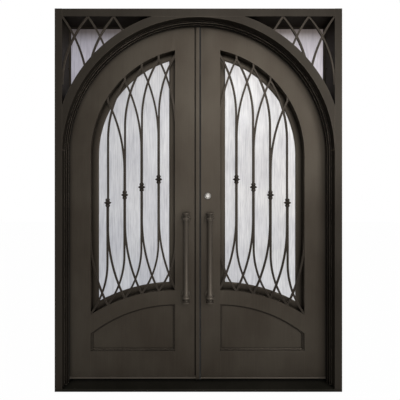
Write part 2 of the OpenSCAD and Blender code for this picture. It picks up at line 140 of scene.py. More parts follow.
class Nodes:
    """A new material's node tree, with short calls to add and join its nodes."""

    def __init__(self, name):
        self.material = bpy.data.materials.new(name)
        self.material.use_nodes = True
        self.tree = self.material.node_tree
        self.shader = self.tree.nodes["Principled BSDF"]
        self.output = self.tree.nodes["Material Output"]

    def add(self, kind, **settings):
        node = self.tree.nodes.new(kind)
        for key, value in settings.items():
            if key in node.inputs:
                node.inputs[key].default_value = value
            else:
                setattr(node, key, value)
        return node

    def link(self, source, target):
        self.tree.links.new(source, target)

    def set(self, **values):
        for key, value in values.items():
            self.shader.inputs[key.replace("_", " ")].default_value = value

    def stretched_noise(self, scale, stretch=(1, 1, 1), detail=3.0, roughness=0.55):
        """Noise in metres, drawn out along an axis by a small stretch factor there."""
        place = self.add("ShaderNodeTexCoord")
        mapping = self.add("ShaderNodeMapping", Scale=stretch)
        texture = self.add("ShaderNodeTexNoise", Scale=scale, Detail=detail, Roughness=roughness)
        self.link(place.outputs["Object"], mapping.inputs["Vector"])
        self.link(mapping.outputs["Vector"], texture.inputs["Vector"])
        return texture.outputs["Fac"]

    def ramp(self, factor, *stops):
        """Colours or greys at places along a factor."""
        node = self.add("ShaderNodeValToRGB")
        elements = node.color_ramp.elements
        while len(elements) < len(stops):
            elements.new(0.5)
        for element, (place, colour) in zip(elements, stops):
            element.position = place
            element.color = colour if len(colour) == 4 else (*colour, 1)
        self.link(factor, node.inputs["Fac"])
        return node.outputs["Color"]

    def mix(self, factor, a, b, blend="MIX"):
        node = self.add("ShaderNodeMix", data_type="RGBA", blend_type=blend)
        for socket, value in zip((node.inputs[0], node.inputs[6], node.inputs[7]), (factor, a, b)):
            if hasattr(value, "is_output"):
                self.link(value, socket)
            else:
                socket.default_value = value if isinstance(value, float) else (*value, 1)
        return node.outputs[2]

    def maths(self, operation, a, b=0.0, clamp=False):
        node = self.add("ShaderNodeMath", operation=operation, use_clamp=clamp)
        for socket, value in zip(node.inputs, (a, b)):
            if hasattr(value, "is_output"):
                self.link(value, socket)
            else:
                socket.default_value = value
        return node.outputs[0]

    def bump(self, *layers):
        """Stacks bumps, each a (height, distance in metres) pair."""
        normal = None
        for height, distance in layers:
            node = self.add("ShaderNodeBump", Strength=1.0, Distance=distance)
            self.link(height, node.inputs["Height"])
            if normal:
                self.link(normal, node.inputs["Normal"])
            normal = node.outputs["Normal"]
        self.link(normal, self.shader.inputs["Normal"])

    def edge_mask(self, width):
        """1 on the edges of a shape and 0 on its flats."""
        rounded = self.add("ShaderNodeBevel", samples=8, Radius=width)
        geometry = self.add("ShaderNodeNewGeometry")
        dot = self.add("ShaderNodeVectorMath", operation="DOT_PRODUCT")
        self.link(rounded.outputs["Normal"], dot.inputs[0])
        self.link(geometry.outputs["Normal"], dot.inputs[1])
        away = self.maths("SUBTRACT", 1.0, dot.outputs["Value"])
        return self.maths("MULTIPLY", away, 4.0, clamp=True)


def painted_iron(name, dark, light, wear_and_sheen_colour, roughness=0.46, wear_and_sheen=0.5, edge=1.6 * MM, recess_shade=0.8, lit_from_above=False):
    """Antique bronze paint on iron: brushed and faintly mottled, with painted shade darkening its
    recesses and lighter edges that are partly burnished and partly a painted highlight."""
    n = Nodes(name)
    clouds = n.stretched_noise(3.2, (1, 1, 0.6), detail=4)
    brushed = n.stretched_noise(190, (1, 1, 0.03), detail=3)
    grain = n.stretched_noise(620, detail=2)
    colour = n.mix(n.ramp(clouds, (0.36, (0, 0, 0)), (0.64, (1, 1, 1))), dark, light)
    streaks = n.ramp(brushed, (0.3, (0.93, 0.93, 0.93)), (0.7, (1.05, 1.05, 1.05)))
    colour = n.mix(1.0, colour, streaks, "MULTIPLY")
    flecks = n.ramp(grain, (0.35, (0.93, 0.93, 0.93)), (0.65, (1.06, 1.06, 1.06)))
    colour = n.mix(1.0, colour, flecks, "MULTIPLY")
    # Painted shade: the colour darkens where ambient occlusion finds a recess nearby.
    if recess_shade:
        recess = n.add("ShaderNodeAmbientOcclusion", samples=8, Distance=40 * MM)
        low = 1 - recess_shade
        shade = n.ramp(recess.outputs["AO"], (0.35, (low, low, low)), (0.85, (1, 1, 1)))
        colour = n.mix(1.0, colour, shade, "MULTIPLY")
    # Lighter edges, partly burnished and partly a painted highlight.
    wear_and_sheen_mask = n.maths("MULTIPLY", n.edge_mask(edge), n.maths("MULTIPLY", clouds, wear_and_sheen * 2), clamp=True)
    # Painted light from above: with this flag set, only edges on faces that look up get lighter.
    if lit_from_above:
        geometry = n.add("ShaderNodeNewGeometry")
        facing = n.add("ShaderNodeSeparateXYZ")
        n.link(geometry.outputs["Normal"], facing.inputs["Vector"])
        rising = n.maths("ADD", facing.outputs["Z"], 0.12, clamp=True)
        wear_and_sheen_mask = n.maths("MULTIPLY", wear_and_sheen_mask, n.maths("MULTIPLY", rising, 3.0, clamp=True), clamp=True)
    colour = n.mix(wear_and_sheen_mask, colour, wear_and_sheen_colour)
    n.link(colour, n.shader.inputs["Base Color"])
    n.set(Metallic=0.45, Specular_IOR_Level=0.22, Specular_Tint=(0.4, 0.38, 0.35, 1))
    gloss = n.maths("ADD", n.maths("MULTIPLY", brushed, 0.16), roughness - 0.08)
    n.link(n.maths("SUBTRACT", gloss, n.maths("MULTIPLY", wear_and_sheen_mask, 0.12)), n.shader.inputs["Roughness"])
    n.bump((grain, 0.00012), (brushed, 0.00010))
    return n.material


def rain_glass(name, low_z, high_z, *shade_by_height):
    """Obscured glass with fine runs down it, with painted shade set by height and darker to the left."""
    n = Nodes(name)
    runs = n.stretched_noise(150, (1, 1, 0.035), detail=5, roughness=0.7)
    drops = n.stretched_noise(60, (1, 1, 0.2), detail=3)
    patches = n.stretched_noise(7, (1, 1, 0.6), detail=3)
    place = n.add("ShaderNodeTexCoord")
    axes = n.add("ShaderNodeSeparateXYZ")
    n.link(place.outputs["Object"], axes.inputs["Vector"])
    height = n.maths("DIVIDE", n.maths("SUBTRACT", axes.outputs["Z"], low_z), high_z - low_z, clamp=True)
    # Painted shade: how dark the glass is at each height comes from the given stops.
    colour_and_shade = n.ramp(height, *shade_by_height)
    streaks = n.ramp(runs, (0.38, (0.66, 0.66, 0.67)), (0.54, (1.0, 1.0, 1.0)))
    colour_and_shade = n.mix(1.0, colour_and_shade, streaks, "MULTIPLY")
    soft = n.ramp(drops, (0.3, (0.86, 0.86, 0.87)), (0.65, (1.0, 1.0, 1.0)))
    colour_and_shade = n.mix(1.0, colour_and_shade, soft, "MULTIPLY")
    cloudy = n.ramp(patches, (0.35, (0.88, 0.88, 0.90)), (0.62, (1.0, 1.0, 1.0)))
    colour_and_shade = n.mix(1.0, colour_and_shade, cloudy, "MULTIPLY")
    # Painted shade: the glass darkens towards the left.
    across = n.maths("ADD", n.maths("MULTIPLY", axes.outputs["X"], 0.6), 0.5, clamp=True)
    colour_and_shade = n.mix(1.0, colour_and_shade, n.mix(across, (0.72, 0.73, 0.75), (1.0, 0.985, 0.96)), "MULTIPLY")
    n.link(colour_and_shade, n.shader.inputs["Base Color"])
    n.set(Roughness=0.3, IOR=1.46, Transmission_Weight=0.92)
    n.bump((runs, 0.0006), (drops, 0.0008))
    return n.material


def brushed_steel(name, colour):
    n = Nodes(name)
    turned = n.stretched_noise(420, (1, 1, 1), detail=2)
    scuffs = n.stretched_noise(60, (1, 1, 0.3), detail=3)
    shade = n.ramp(scuffs, (0.3, tuple(0.82 * c for c in colour)), (0.7, colour))
    n.link(shade, n.shader.inputs["Base Color"])
    n.set(Metallic=1.0)
    n.link(n.maths("ADD", n.maths("MULTIPLY", turned, 0.14), 0.42), n.shader.inputs["Roughness"])
    n.bump((turned, 0.00003))
    return n.material


def rubber(name, colour):
    n = Nodes(name)
    pores = n.stretched_noise(900, detail=3)
    shade = n.ramp(pores, (0.3, tuple(0.7 * c for c in colour)), (0.7, tuple(1.3 * c for c in colour)))
    n.link(shade, n.shader.inputs["Base Color"])
    n.link(n.maths("ADD", n.maths("MULTIPLY", pores, 0.2), 0.65), n.shader.inputs["Roughness"])
    n.bump((pores, 0.0001))
    return n.material


def pile(name, colour):
    """The dense upright fibres of a brush seal."""
    n = Nodes(name)
    fibres = n.stretched_noise(1500, (1, 0.05, 1), detail=2)
    shade = n.ramp(fibres, (0.3, tuple(0.4 * c for c in colour)), (0.7, tuple(1.5 * c for c in colour)))
    n.link(shade, n.shader.inputs["Base Color"])
    n.set(Roughness=0.95, Sheen_Weight=0.2)
    n.bump((fibres, 0.0004))
    return n.material


BRONZE = painted_iron("bronze_paint", (0.053, 0.043, 0.033), (0.070, 0.059, 0.046), (0.12, 0.10, 0.078))
# The moulding's paint is darker than the leaf's as painted shade in its steps, and its pale edge colour,
# kept to faces that look up, is a painted highlight.
MOULDING_BRONZE = painted_iron(
    "moulding_paint", (0.028, 0.023, 0.018), (0.036, 0.030, 0.024), (0.5, 0.42, 0.33), 0.45, 1.2,
    2.4 * MM, 0.97, True)
FRAME_BRONZE = painted_iron(
    "frame_paint", (0.029, 0.024, 0.019), (0.039, 0.033, 0.026), (0.20, 0.165, 0.13), 0.5, 0.7, 2.2 * MM)
# The stops' paint is darker than the frame's as painted shade in the reveal, and their pale edge colour
# paints highlight lines along the steps.
STOP_BRONZE = painted_iron(
    "stop_paint", (0.016, 0.013, 0.010), (0.022, 0.018, 0.014), (0.36, 0.30, 0.24), 0.55, 1.1, 2.2 * MM)
GRILLE_BRONZE = painted_iron(
    "grille_paint", (0.036, 0.029, 0.023), (0.050, 0.042, 0.034), (0.15, 0.125, 0.10), 0.42, 0.6, recess_shade=0.5)
HANDLE_BRONZE = painted_iron(
    "handle_paint", (0.085, 0.072, 0.058), (0.11, 0.093, 0.075), (0.24, 0.20, 0.16), 0.38, 0.8)
SILL_BRONZE = painted_iron(
    "sill_paint", (0.017, 0.016, 0.012), (0.025, 0.023, 0.018), (0.10, 0.09, 0.07), 0.5, 0.7)
SWEEP_BRONZE = painted_iron(
    "sweep_paint", (0.10, 0.085, 0.068), (0.13, 0.11, 0.09), (0.3, 0.26, 0.2), 0.45, 0.8, recess_shade=0.0)
STEEL = brushed_steel("lock_steel", (0.54, 0.52, 0.49))
BLACK_RUBBER = rubber("black_rubber", (0.018, 0.017, 0.016))
BRUSH_PILE = pile("brush_pile", (0.02, 0.019, 0.018))
# Painted shade on the window glass: darker towards its bottom and darkest towards its top.
WINDOW_GLASS = rain_glass("rain_glass", 0.5, 2.2, (0.0, (0.86, 0.87, 0.90)), (0.45, (0.96, 0.95, 0.95)),
                          (0.75, (0.95, 0.94, 0.94)), (1.0, (0.78, 0.76, 0.76)))
# Painted shadow on the corner glass: it darkens to deep brown towards the head.
CORNER_GLASS = rain_glass("corner_rain_glass", 1.9, 2.36, (0.0, (0.72, 0.69, 0.75)),
                          (0.6, (0.78, 0.74, 0.80)),
                          (0.85, (0.6, 0.56, 0.6)), (1.0, (0.2, 0.17, 0.16)))

# ------------------------ shapes


def finish_piece(name, bm, material, body, nodes=(), sharp_degrees=30, weighted=False):
    """Turns a mesh into a piece that rides on a body and stands for CAD nodes."""
    bmesh.ops.recalc_face_normals(bm, faces=bm.faces)
    mesh = bpy.data.meshes.new(name)
    bm.to_mesh(mesh)
    bm.free()
    mesh.materials.append(material)
    mesh.shade_smooth()
    mesh.set_sharp_from_angle(angle=math.radians(sharp_degrees))
    piece = bpy.data.objects.new(name, mesh)
    bpy.context.scene.collection.objects.link(piece)
    if weighted:
        piece.modifiers.new("flat faces", "WEIGHTED_NORMAL").keep_sharp = True
    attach(piece, body)
    if nodes:
        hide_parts(*nodes)
    return piece


def add_slab(bm, outline, y_low, y_high, side=1, soft=None, radius=1.5 * MM):
    """Adds a slab with this outline in X and Z. The edges that soft(x, z) picks are rounded."""
    front = [bm.verts.new((side * x, y_low, z)) for x, z in outline]
    back = [bm.verts.new((side * x, y_high, z)) for x, z in outline]
    bm.faces.new(front)
    bm.faces.new(back[::-1])
    for i in range(len(outline)):
        bm.faces.new((front[i - 1], front[i], back[i], back[i - 1]))
    if soft is None:
        return
    chosen = []
    for ring in (front, back):
        for i in range(len(ring)):
            middle = (ring[i].co + ring[i - 1].co) / 2
            if soft(side * middle.x, middle.z):
                chosen.append(bm.edges.get((ring[i - 1], ring[i])))
    bmesh.ops.bevel(bm, geom=chosen, offset=radius, segments=3, profile=0.5, affect="EDGES")


def plate(name, outline, y_low, y_high, body, nodes, side=1, soft=None,
          material=BRONZE, radius=1.5 * MM):
    bm = bmesh.new()
    add_slab(bm, outline, y_low, y_high, side, soft, radius)
    return finish_piece(name, bm, material, body, nodes, weighted=True)


def add_moulding(bm, outline_at, section, side=1):
    """Adds a closed frame moulding. section is a loop of (inset, y) pairs round its profile."""
    loops = [[bm.verts.new((side * x, y, z)) for x, z in outline_at(inset)] for inset, y in section]
    for k in range(len(loops)):
        a, b = loops[k - 1], loops[k]
        for i in range(len(a)):
            bm.faces.new((a[i - 1], a[i], b[i], b[i - 1]))


def moulding(name, outline_at, section, body, nodes, side=1, material=BRONZE):
    bm = bmesh.new()
    add_moulding(bm, outline_at, section, side)
    return finish_piece(name, bm, material, body, nodes, weighted=True)


def from_mm(pairs):
    return [(r * MM, h * MM) for r, h in pairs]


def add_lathe(bm, profile, place, axis, segments=40):
    """Adds a turned solid. profile is a list of (radius, height) pairs along axis from place."""
    turn = Vector((0, 0, 1)).rotation_difference(Vector(axis)).to_matrix().to_4x4()
    where = Matrix.Translation(Vector(place)) @ turn
    rings = []
    for radius, height in profile:
        if radius < 1e-6:
            rings.append([bm.verts.new(where @ Vector((0, 0, height)))])
            continue
        angles = [2 * math.pi * k / segments for k in range(segments)]
        rings.append([bm.verts.new(where @ Vector((radius * math.cos(a), radius * math.sin(a), height)))
                      for a in angles])
    for low, high in zip(rings, rings[1:]):
        for k in range(segments):
            if len(low) == 1:
                corners = (low[0], high[k], high[k - 1])
            elif len(high) == 1:
                corners = (low[k - 1], low[k], high[0])
            else:
                corners = (low[k - 1], low[k], high[k], high[k - 1])
            bm.faces.new(corners)
    for ring, flip in ((rings[0], True), (rings[-1], False)):
        if len(ring) > 1:
            bm.faces.new(ring[::-1] if flip else ring)


def add_box(bm, low, high, bevel=0.0):
    """Adds a box between two corners, with its edges rounded."""
    size = Vector(high) - Vector(low)
    middle = (Vector(high) + Vector(low)) / 2
    made = bmesh.ops.create_cube(bm, size=1.0,
                                 matrix=Matrix.Translation(middle) @ Matrix.Diagonal((*size, 1)))
    if bevel:
        edges = list({e for v in made["verts"] for e in v.link_edges})
        bmesh.ops.bevel(bm, geom=edges, offset=bevel, segments=2, profile=0.5, affect="EDGES")


def add_sweep(bm, path, y_middle, half_w, half_t, chamfer, side=1):
    """Adds a bar with a chamfered section along a path in X and Z."""
    section = []
    for u, v in ((-1, -1), (1, -1), (1, 1), (-1, 1)):
        first = (u * (half_w - chamfer), v * half_t)
        second = (u * half_w, v * (half_t - chamfer))
        section += [first, second] if u * v > 0 else [second, first]
    rings = []
    for k, (x, z) in enumerate(path):
        ahead = Vector(path[min(k + 1, len(path) - 1)]) - Vector(path[max(k - 1, 0)])
        across = Vector((ahead.y, -ahead.x)).normalized()
        rings.append([bm.verts.new((side * (x + u * across.x), y_middle + v, z + u * across.y))
                      for u, v in section])
    for a, b in zip(rings, rings[1:]):
        for k in range(len(section)):
            bm.faces.new((a[k - 1], a[k], b[k], b[k - 1]))
    bm.faces.new(rings[0])
    bm.faces.new(rings[-1][::-1])


def arc(centre, radius, start, end, steps):
    """Points on a circle in X and Z between two angles in degrees."""
    angles = [math.radians(start + (end - start) * k / steps) for k in range(steps + 1)]
    return [(centre[0] + radius * math.cos(a), centre[1] + radius * math.sin(a)) for a in angles]


def angle_at_x(radius, x):
    return math.degrees(math.acos(max(-1.0, min(1.0, x / radius))))


def near(a, b, tolerance=0.6 * MM):
    return abs(a - b) < tolerance


# ------------------------ outlines

ARCH_STEPS = 56
CURVE_STEPS = 28
ARCH_CENTRE = (0.0, SPRING_Z)


def spread(first, last, steps):
    return [first + (last - first) * k / steps for k in range(steps + 1)]


def rectangle(x_low, z_low, x_high, z_high):
    return [(x_low, z_low), (x_high, z_low), (x_high, z_high), (x_low, z_high)]


def arch_top(radius, x):
    return SPRING_Z + math.sqrt(radius ** 2 - x ** 2)


def window_arc_z(x, inset=0.0):
    return WINDOW_ARC_Z + math.sqrt((WINDOW_ARC_R + inset) ** 2 - (x - INNER_X) ** 2)


def panel_arc_z(x, inset=0.0):
    return PANEL_ARC_Z + math.sqrt((PANEL_ARC_R - inset) ** 2 - (x - INNER_X) ** 2)


def window_outline(inset):
    """A leaf's window, drawn in by inset."""
    inner_x = INNER_X + inset
    outer_r = WINDOW_R - inset
    points = [(x, window_arc_z(x, inset)) for x in spread(inner_x, outer_r, CURVE_STEPS)]
    return points + arc(ARCH_CENTRE, outer_r, 0, angle_at_x(outer_r, inner_x), ARCH_STEPS)


def kick_outline(inset):
    """The lower panel, drawn in by inset."""
    inner_x = INNER_X + inset
    outer_x = WINDOW_R - inset
    points = [(inner_x, RAIL_Z + inset), (outer_x, RAIL_Z + inset)]
    return points + [(x, panel_arc_z(x, inset)) for x in spread(outer_x, inner_x, CURVE_STEPS)]


def corner_outline(inset):
    """The glazed corner between the arch, the head and the jamb, drawn in by inset."""
    low_angle = angle_at_x(BAND_R + inset, OPENING_X - inset)
    high_angle = math.degrees(math.asin((HEAD_Z - inset - SPRING_Z) / (BAND_R + inset)))
    curve = arc(ARCH_CENTRE, BAND_R + inset, high_angle, low_angle, CURVE_STEPS)
    return curve + [(OPENING_X - inset, HEAD_Z - inset)]


def on_arch(radius):
    """Picks the edges that lie on an arch of this radius or on the straight lines below it."""
    def test(x, z):
        reach = math.hypot(x, z - SPRING_Z) if z > SPRING_Z else x
        return near(reach, radius, ARCH_TOLERANCE)
    return test


# ------------------------ frame


def make_frame():
    """Jambs, head, sill, band and stops, welded into one fixed frame."""
    for side, sign in SIDES.items():
        bm = bmesh.new()
        outline = rectangle(OPENING_X, 0, FRAME_X, FRAME_Z)
        exposed = lambda x, z: z < FRAME_Z - MM and (near(x, FRAME_X) or near(x, OPENING_X))
        add_slab(bm, outline, FRONT_Y, BACK_Y, sign, exposed)
        jamb = finish_piece(f"{side}_jamb_tube", bm, FRAME_BRONZE, "frame", [f"{side}_jamb"],
                            weighted=True)
        drill_anchors(jamb, sign)
    plate("head_tube", rectangle(-OPENING_X, HEAD_Z, OPENING_X, FRAME_Z),
          FRONT_Y, BACK_Y, "frame", ["head"], soft=lambda x, z: near(z, HEAD_Z) or near(z, FRAME_Z),
          material=FRAME_BRONZE)
    plate("sill_plate", rectangle(-OPENING_X, 0, OPENING_X, SILL_Z),
          FRONT_Y, BACK_Y, "frame", ["sill"], soft=lambda x, z: near(z, SILL_Z),
          material=SILL_BRONZE, radius=2.5 * MM)
    make_band()
    for step, (width, y_low) in enumerate((
            (STOP_FIRST_W, STOP_FRONT_Y), (STOP_SECOND_W, STOP_FRONT_Y + STOP_STEP_D))):
        inner_x = OPENING_X - width
        outline = [(OPENING_X, SILL_Z)] + arc(ARCH_CENTRE, OPENING_X, 0, 180, 2 * ARCH_STEPS)
        outline += [(-OPENING_X, SILL_Z), (-inner_x, SILL_Z)]
        outline += arc(ARCH_CENTRE, inner_x, 180, 0, 2 * ARCH_STEPS) + [(inner_x, SILL_Z)]
        free = lambda x, z, w=inner_x: (near(math.hypot(x, z - SPRING_Z), w, ARCH_TOLERANCE) if z > SPRING_Z
                                        else near(abs(x), w))
        plate(f"stop_step_{step + 1}", outline, y_low, STOP_BACK_Y, "frame",
              ["side_stops", "arch_stop"] if step == 0 else [], soft=free, material=STOP_BRONZE,
              radius=2.0 * MM)


def make_band():
    """The band that makes the arch, cut off by the jambs and the head."""
    low_angle = math.degrees(math.asin(BAND_START_H / OPENING_X))
    outer_low = angle_at_x(BAND_R, OPENING_X)
    outer_high = math.degrees(math.asin((HEAD_Z - SPRING_Z) / BAND_R))
    right = arc(ARCH_CENTRE, BAND_R, outer_low, outer_high, CURVE_STEPS)
    outline = arc(ARCH_CENTRE, OPENING_X, 180 - low_angle, low_angle, 2 * ARCH_STEPS)
    outline += right
    outline += [(-x, z) for x, z in reversed(right)]
    exposed = lambda x, z: (near(math.hypot(x, z - SPRING_Z), OPENING_X, ARCH_TOLERANCE)
                            or near(math.hypot(x, z - SPRING_Z), BAND_R, ARCH_TOLERANCE))
    plate("arch_band_tube", outline, FRONT_Y, BACK_Y, "frame", ["arch_band"], soft=exposed,
          material=FRAME_BRONZE)


def drill_anchors(jamb, sign):
    """Cuts the anchor bolts' holes through a jamb."""
    bm = bmesh.new()
    for mount in frame["record"]["mounts"]:
        if not (mount["name"].startswith("right_") and mount["name"].endswith("_anchors")):
            continue
        radius = mount["dims"]["hole_r_mm"] * MM
        reach = mount["dims"]["spacing_y_mm"] * MM / 2
        for z in (mount["pos_m"][2] - reach, mount["pos_m"][2] + reach):
            add_lathe(bm, [(radius, -DRILL_MARGIN), (radius, FRAME_X - OPENING_X + DRILL_MARGIN)],
                      (sign * OPENING_X, mount["pos_m"][1], z), (sign, 0, 0), 32)
    bmesh.ops.recalc_face_normals(bm, faces=bm.faces)
    mesh = bpy.data.meshes.new("drill")
    bm.to_mesh(mesh)
    bm.free()
    drill = bpy.data.objects.new("drill", mesh)
    bpy.context.scene.collection.objects.link(drill)
    cut = jamb.modifiers.new("anchor holes", "BOOLEAN")
    cut.operation = "DIFFERENCE"
    cut.object = drill
    bpy.context.view_layer.update()
    cut_mesh = bpy.data.meshes.new_from_object(jamb.evaluated_get(bpy.context.evaluated_depsgraph_get()))
    jamb.modifiers.clear()
    jamb.data = cut_mesh
    jamb.modifiers.new("flat faces", "WEIGHTED_NORMAL").keep_sharp = True
    bpy.data.objects.remove(drill)


def make_seals():
    """Rubber seals behind the stops and brush seals between the leaves."""
    seal_r = OPENING_X - STOP_SECOND_W + 4 * MM
    y_middle = (STOP_BACK_Y + LEAF_Y) / 2
    half_t = (LEAF_Y - STOP_BACK_Y) / 2 - 0.2 * MM
    path = [(seal_r, SILL_Z + 8 * MM)] + arc(ARCH_CENTRE, seal_r, 0, 180, 2 * ARCH_STEPS)
    path.append((-seal_r, SILL_Z + 8 * MM))
    bm = bmesh.new()
    add_sweep(bm, path, y_middle, 3.4 * MM, half_t, 1.2 * MM)
    finish_piece("stop_seal", bm, BLACK_RUBBER, "frame")
    gap_middle = (EDGE_X["right"] + EDGE_X["left"]) / 2
    top = arch_top(LEAF_R, EDGE_X["right"]) - 4 * MM
    seal_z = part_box("right_door_sweep")[0].z
    y_low, y_high = LEAF_Y + 5 * MM, LEAF_Y + 28 * MM
    bm = bmesh.new()
    add_box(bm, (EDGE_X["left"], y_low, seal_z), (gap_middle - 0.1 * MM, y_high, top), 0.8 * MM)
    finish_piece("left_brush_seal", bm, BRUSH_PILE, "left_leaf")
    bm = bmesh.new()
    add_box(bm, (gap_middle + 0.1 * MM, y_low, seal_z), (EDGE_X["right"], y_high, top), 0.8 * MM)
    finish_piece("right_brush_seal", bm, BRUSH_PILE, "right_leaf")


# ------------------------ glass


def rain_sheet(name, outline_x, low_z, high_z, y_front, y_back, columns, rows, seed):
    """A sheet of glass with runs down its front. low_z and high_z give its ends at each x."""
    bm = bmesh.new()
    grids = []
    for y, waves in ((y_front, 1.0), (y_back, 0.0)):
        grid = []
        for i in range(columns + 1):
            x = outline_x[0] + (outline_x[1] - outline_x[0]) * i / columns
            column = []
            for k in range(rows + 1):
                z = low_z(x) + (high_z(x) - low_z(x)) * k / rows
                run = noise.noise(Vector((x * 150, z * 9, seed))) + 0.5 * noise.noise(Vector((x * 370,
                                                                                              z * 24, seed)))
                column.append(bm.verts.new((x, y + waves * 0.6 * MM * run, z)))
            grid.append(column)
        grids.append(grid)
    for grid in grids:
        for i in range(columns):
            for k in range(rows):
                bm.faces.new((grid[i][k], grid[i + 1][k], grid[i + 1][k + 1], grid[i][k + 1]))
    front, back = grids
    border = [(i, 0) for i in range(columns)] + [(columns, k) for k in range(rows)]
    border += [(i, rows) for i in range(columns, 0, -1)] + [(0, k) for k in range(rows, 0, -1)]
    for (a, b), (c, d) in zip(border, border[1:] + border[:1]):
        bm.faces.new((front[a][b], front[c][d], back[c][d], back[a][b]))
    return bm


def make_corner(side, sign):
    """Bars, glass and bead of one corner."""
    low_z = lambda x: arch_top(BAND_R + MM, x)
    start_x = math.sqrt(BAND_R ** 2 - (HEAD_Z - SPRING_Z) ** 2) + 12 * MM
    bm = rain_sheet("glass", (start_x, OPENING_X - 0.5 * MM), low_z, lambda x: HEAD_Z - 0.5 * MM,
                    CORNER_GLASS_Y + 0.8 * MM, CORNER_GLASS_BACK_Y, 130, 40, 7.0 * sign)
    if sign < 0:
        bmesh.ops.scale(bm, vec=(-1, 1, 1), verts=bm.verts)
    finish_piece(f"{side}_corner_rain_glass", bm, CORNER_GLASS, "frame",
                 ["corner_glass"] if side == "left" else [], sharp_degrees=60)
    bead_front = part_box("corner_beads")[0].y
    section = [(0, CORNER_GLASS_Y), (0, bead_front), (2 * MM, bead_front),
               (5 * MM, bead_front + 3 * MM), (8 * MM, CORNER_GLASS_Y - 3 * MM), (8 * MM, CORNER_GLASS_Y)]
    moulding(f"{side}_corner_bead", corner_outline, section, "frame",
             ["corner_beads"] if side == "left" else [], sign)
    section = [(0, CORNER_GLASS_BACK_Y), (0, BACK_Y), (5 * MM, BACK_Y), (8 * MM, CORNER_GLASS_BACK_Y)]
    moulding(f"{side}_corner_back_bead", corner_outline, section, "frame", [], sign)
    bm = bmesh.new()
    bars = [(k, 1) for k in (1, 2, 3)] + [(k, -1) for k in (0, 1)]
    for k, out in bars:
        radius = CORNER_R if out > 0 else CORNER_BOW_R
        centre = (OPENING_X - k * CORNER_STEP + out * radius,
                  HEAD_Z - math.sqrt(2 * radius * CORNER_STEP - CORNER_STEP ** 2))
        turn = math.degrees(math.acos(1 - CORNER_STEP / radius))
        start, end = (180, 180 - turn) if out > 0 else (0, turn)
        path = []
        for px, pz in arc(centre, radius, start, end, 36):
            if math.hypot(px, pz - SPRING_Z) > BAND_R - 8 * MM:
                path.append((px, pz))
        depth = FRONT_Y + BAR_W / 2 + (0.5 if out > 0 else 1.1) * MM
        add_sweep(bm, path, depth, BAR_W / 2, BAR_W / 2 - 0.6 * MM, 1.3 * MM, sign)
    finish_piece(f"{side}_corner_bars", bm, GRILLE_BRONZE, "frame",
                 ["corner_grilles"] if side == "left" else [])


# ------------------------ leaves


def leaf_plates(side, sign, body):
    """The welded rails and stiles of a leaf, rounded where their edges are free."""
    rim = on_arch(LEAF_R)
    window = on_arch(WINDOW_R)
    stile = [(WINDOW_R, LEAF_Z), (LEAF_R, LEAF_Z), (LEAF_R, SPRING_Z), (WINDOW_R, SPRING_Z),
             (WINDOW_R, window_arc_z(WINDOW_R)), (WINDOW_R, panel_arc_z(WINDOW_R)), (WINDOW_R, RAIL_Z)]
    free = lambda x, z: (near(x, LEAF_R) or near(z, LEAF_Z)
                         or (near(x, WINDOW_R)
                             and (z > window_arc_z(WINDOW_R) or RAIL_Z < z < panel_arc_z(WINDOW_R))))
    plate(f"{side}_hinge_stile_tube", stile, LEAF_Y, LEAF_BACK_Y, body, [f"{side}_hinge_stile"],
          sign, free)
    inner = arc(ARCH_CENTRE, WINDOW_R, 0, angle_at_x(WINDOW_R, INNER_X), ARCH_STEPS)
    outer = arc(ARCH_CENTRE, LEAF_R, angle_at_x(LEAF_R, INNER_X), 0, ARCH_STEPS)
    curved = lambda x, z: z > SPRING_Z + MM and (rim(x, z) or window(x, z))
    plate(f"{side}_arch_rail_tube", inner + outer, LEAF_Y, LEAF_BACK_Y, body,
          [f"{side}_arch_rail"], sign, curved)
    edge = EDGE_X[side]
    arch = arc(ARCH_CENTRE, LEAF_R, angle_at_x(LEAF_R, INNER_X), angle_at_x(LEAF_R, edge), 10)
    inner_side = [(INNER_X, z) for z in (LEAF_Z, RAIL_Z, panel_arc_z(INNER_X), WINDOW_SILL_Z,
                                         arch_top(WINDOW_R, INNER_X))]
    free = lambda x, z: (near(x, edge) or near(z, LEAF_Z) or rim(x, z)
                         or (near(x, INNER_X) and (RAIL_Z < z < panel_arc_z(INNER_X)
                                                   or WINDOW_SILL_Z < z < SPRING_Z + WINDOW_R)))
    if side == "left":
        make_grooved_stile(side, sign, body, inner_side, arch, free)
    else:
        plate(f"{side}_meeting_stile_tube", inner_side + arch + [(edge, LEAF_Z)], LEAF_Y, LEAF_BACK_Y, body,
              [f"{side}_meeting_stile"], sign, free)
    upper = [(x, window_arc_z(x)) for x in spread(INNER_X, WINDOW_R, CURVE_STEPS)]
    lower = [(x, panel_arc_z(x)) for x in spread(WINDOW_R, INNER_X, CURVE_STEPS)]
    curved = lambda x, z: near(z, window_arc_z(x), MM) or near(z, panel_arc_z(x), MM)
    plate(f"{side}_middle_rail_tube", upper + lower, LEAF_Y, LEAF_BACK_Y, body,
          [f"{side}_middle_rail"], sign, curved)
    plate(f"{side}_bottom_rail_tube", rectangle(INNER_X, LEAF_Z, WINDOW_R, RAIL_Z),
          LEAF_Y, LEAF_BACK_Y, body, [f"{side}_bottom_rail"], sign,
          lambda x, z: near(z, LEAF_Z) or near(z, RAIL_Z))


def make_grooved_stile(side, sign, body, inner_side, arch, free):
    """The left meeting stile, which has a shadow groove beside the cover strip."""
    edge = EDGE_X[side]
    groove_x = edge + GROOVE_W
    bm = bmesh.new()
    top = arch_top(LEAF_R, groove_x)
    front_arch = [p for p in arch if p[0] > groove_x] + [(groove_x, top)]
    in_front = lambda x, z: free(x, z) or near(x, groove_x)
    add_slab(bm, inner_side + front_arch + [(groove_x, LEAF_Z)], LEAF_Y, LEAF_BACK_Y, sign, in_front)
    add_slab(bm, rectangle(edge, LEAF_Z, groove_x, top),
             LEAF_Y + GROOVE_D, LEAF_BACK_Y, sign)
    finish_piece(f"{side}_meeting_stile_tube", bm, BRONZE, body, [f"{side}_meeting_stile"],
                 weighted=True)


